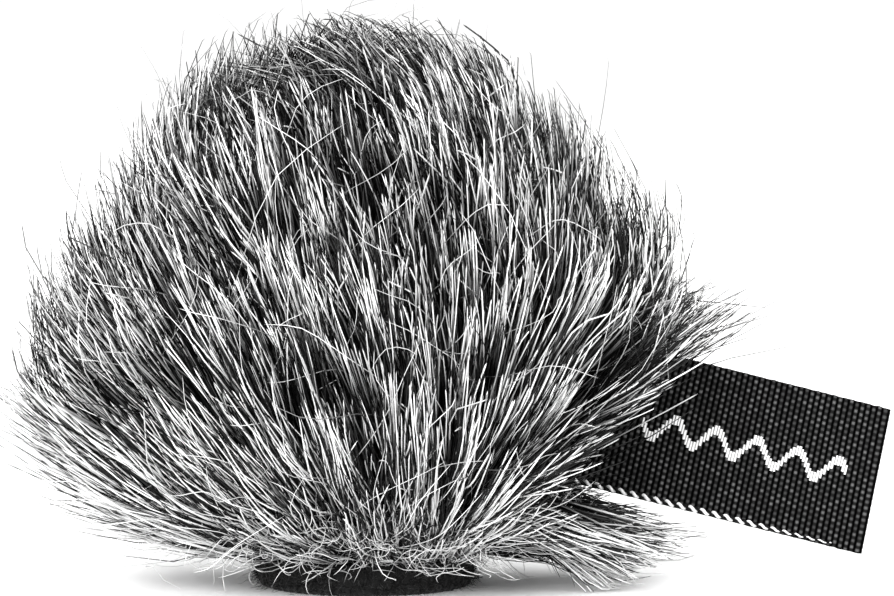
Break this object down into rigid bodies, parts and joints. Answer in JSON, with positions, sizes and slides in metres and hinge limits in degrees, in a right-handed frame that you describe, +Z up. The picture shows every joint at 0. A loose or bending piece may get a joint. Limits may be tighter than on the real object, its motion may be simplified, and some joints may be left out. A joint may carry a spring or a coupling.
{
  "type": "lavalier microphone head with furry windscreen",
  "caption": "Lavalier microphone head seated in a foam-cored furry windscreen that stands on its mouth, with a folded woven label in the side seam.",
  "frame": {"origin": "centre of the cable gland's mouth, flush with the bottom of the windscreen's mouth band, which the object stands on", "axes": "+Z up the head's axis towards the crown, +X towards the label, which comes out of the right-hand side seam; -Y is the front"},
  "size_m": [0.0425, 0.032, 0.0284],
  "materials": {
    "fur": "matte",
    "knit_binding": "matte",
    "foam": "matte",
    "elastic": "matte",
    "thread": "matte",
    "label_weave": "satin",
    "barrel_metal": "satin",
    "gland_rubber": "matte",
    "boot_rubber": "matte",
    "steel_mesh": "satin",
    "felt": "matte",
    "black_plastic": "satin",
    "white_plastic": "satin",
    "bare_aluminium": "satin",
    "brass": "satin",
    "film": "gloss",
    "chip_ceramic": "satin",
    "board_laminate": "satin",
    "solder": "satin"
  },
  "bodies": {
    "microphone": {"barrel": "barrel_metal", "cable_gland": "gland_rubber", "grille_cap": "barrel_metal", "grille_mesh": "steel_mesh", "acoustic_felt": "felt", "support_ring": "black_plastic", "capsule_boot": "boot_rubber", "capsule_can": "bare_aluminium", "dust_felt": "felt", "diaphragm_ring": "brass", "diaphragm": "film", "spacer_ring": "film", "backplate": "brass", "backplate_holder": "white_plastic", "contact_ring": "brass", "transistor": "black_plastic", "filter_capacitor": "chip_ceramic", "capsule_board": "board_laminate", "solder_joints": "solder"},
    "windscreen": {"foam_core": "foam", "fur_panel_front": "fur", "fur_panel_back": "fur", "mouth_band": "knit_binding", "mouth_elastic": "elastic", "hem_stitches": "thread", "side_seam_thread": "thread", "label_tail": "label_weave", "label_stitches": "thread"},
    "label": {"label_tab": "label_weave"}
  },
  "joints": [
    {"name": "windscreen_pull", "type": "slide", "parent": "microphone", "child": "windscreen", "axis": [0, 0, 1], "range_m": [0, 0.0205]},
    {"name": "label_flex", "type": "hinge", "parent": "windscreen", "child": "label", "pos_m": [0.00875, 0, 0.0093], "axis": [0.2419, 0, 0.9703], "range_deg": [-30, 30], "stiffness_Nm_per_rad": 0.00002}
  ]
}
